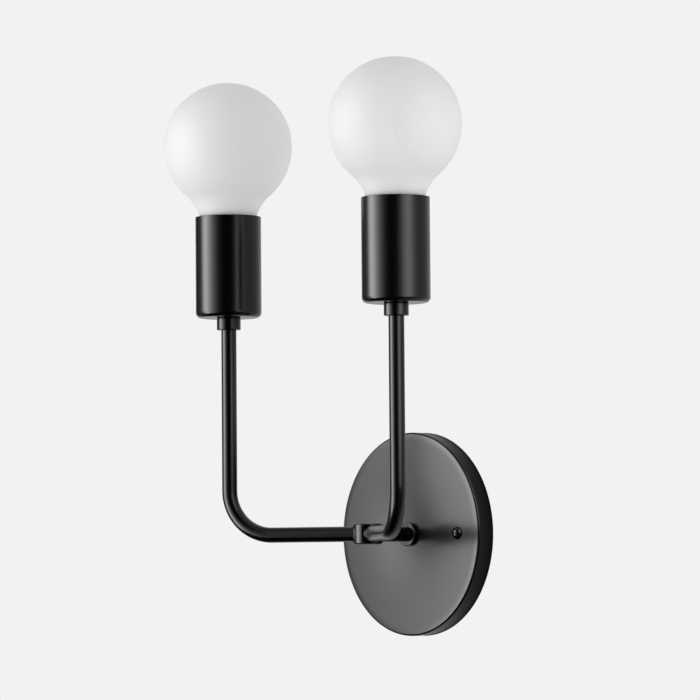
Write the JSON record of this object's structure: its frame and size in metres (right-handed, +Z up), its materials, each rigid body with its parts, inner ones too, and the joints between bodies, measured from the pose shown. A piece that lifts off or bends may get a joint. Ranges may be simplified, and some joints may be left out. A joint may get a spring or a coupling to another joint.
{
  "type": "wall sconce",
  "caption": "Wall light with a round canopy, a short stem, a three-way cluster body, bent upright arms, plain cylindrical socket cups and frosted globe bulbs.",
  "frame": {"origin": "on the wall plane, where the stem's axis meets it, midway between the box-screw slots", "axes": "+Z up the wall, -Y out into the room, +Y into the wall, +X to the right for a person who faces the wall"},
  "size_m": [0.2384, 0.1329, 0.3483],
  "materials": {
    "black_coat": "satin black powder coat",
    "black_screw": "black oxide, semi-gloss",
    "zinc_steel": "bright zinc plate",
    "ground_green": "green dyed zinc",
    "phenolic": "moulded, semi-gloss",
    "screw_shell": "drawn sheet, satin",
    "brass_screw": "turned",
    "frosted_glass": "inside-frosted, satin white",
    "bulb_base": "drawn sheet, bright",
    "black_glass": "glossy black",
    "solder": "tinned",
    "clear_glass": "clear",
    "filament": "drawn wire"
  },
  "bodies": {
    "fixture": {"mounting_bracket": "zinc_steel", "ground_screw": "ground_green", "canopy": "black_coat", "canopy_screws": "black_screw", "stem_collar": "black_coat", "stem_tube": "black_coat", "stem_nipple": "zinc_steel", "stem_lock_washer": "zinc_steel", "stem_nut": "zinc_steel", "cluster_body": "black_coat", "left_arm": "black_coat", "left_neck_collar": "black_coat", "left_arm_nipple": "zinc_steel", "left_socket_cup": "black_coat", "left_socket_nut": "zinc_steel", "left_socket_cap": "phenolic", "left_socket_body": "phenolic", "left_socket_shell": "screw_shell", "left_socket_contact": "screw_shell", "left_terminal_screws": "brass_screw", "right_arm": "black_coat", "right_neck_collar": "black_coat", "right_arm_nipple": "zinc_steel", "right_socket_cup": "black_coat", "right_socket_nut": "zinc_steel", "right_socket_cap": "phenolic", "right_socket_body": "phenolic", "right_socket_shell": "screw_shell", "right_socket_contact": "screw_shell", "right_terminal_screws": "brass_screw"},
    "left_bulb_tip": {"left_bulb_contact": "solder"},
    "left_bulb": {"left_bulb_glass": "frosted_glass", "left_bulb_shell": "bulb_base", "left_bulb_insulator": "black_glass", "left_bulb_stem": "clear_glass", "left_bulb_filament": "filament"},
    "right_bulb_tip": {"right_bulb_contact": "solder"},
    "right_bulb": {"right_bulb_glass": "frosted_glass", "right_bulb_shell": "bulb_base", "right_bulb_insulator": "black_glass", "right_bulb_stem": "clear_glass", "right_bulb_filament": "filament"}
  },
  "joints": [
    {"name": "left_bulb_rise", "type": "slide", "parent": "fixture", "child": "left_bulb_tip", "axis": [0, 0, 1], "range_m": [0, 0.0182]},
    {"name": "left_bulb_turn", "type": "hinge", "parent": "left_bulb_tip", "child": "left_bulb", "pos_m": [-0.07881, -0.0925, 0.164], "axis": [0, 0, 1], "range_deg": [0, 1800]},
    {"name": "right_bulb_rise", "type": "slide", "parent": "fixture", "child": "right_bulb_tip", "axis": [0, 0, 1], "range_m": [0, 0.0182]},
    {"name": "right_bulb_turn", "type": "hinge", "parent": "right_bulb_tip", "child": "right_bulb", "pos_m": [0.07881, -0.0925, 0.164], "axis": [0, 0, 1], "range_deg": [0, 1800]}
  ],
  "couplings": [
    {"joint": "left_bulb_rise", "follows": "left_bulb_turn", "m_per_rad": 0.00057757},
    {"joint": "right_bulb_rise", "follows": "right_bulb_turn", "m_per_rad": 0.00057757}
  ]
}
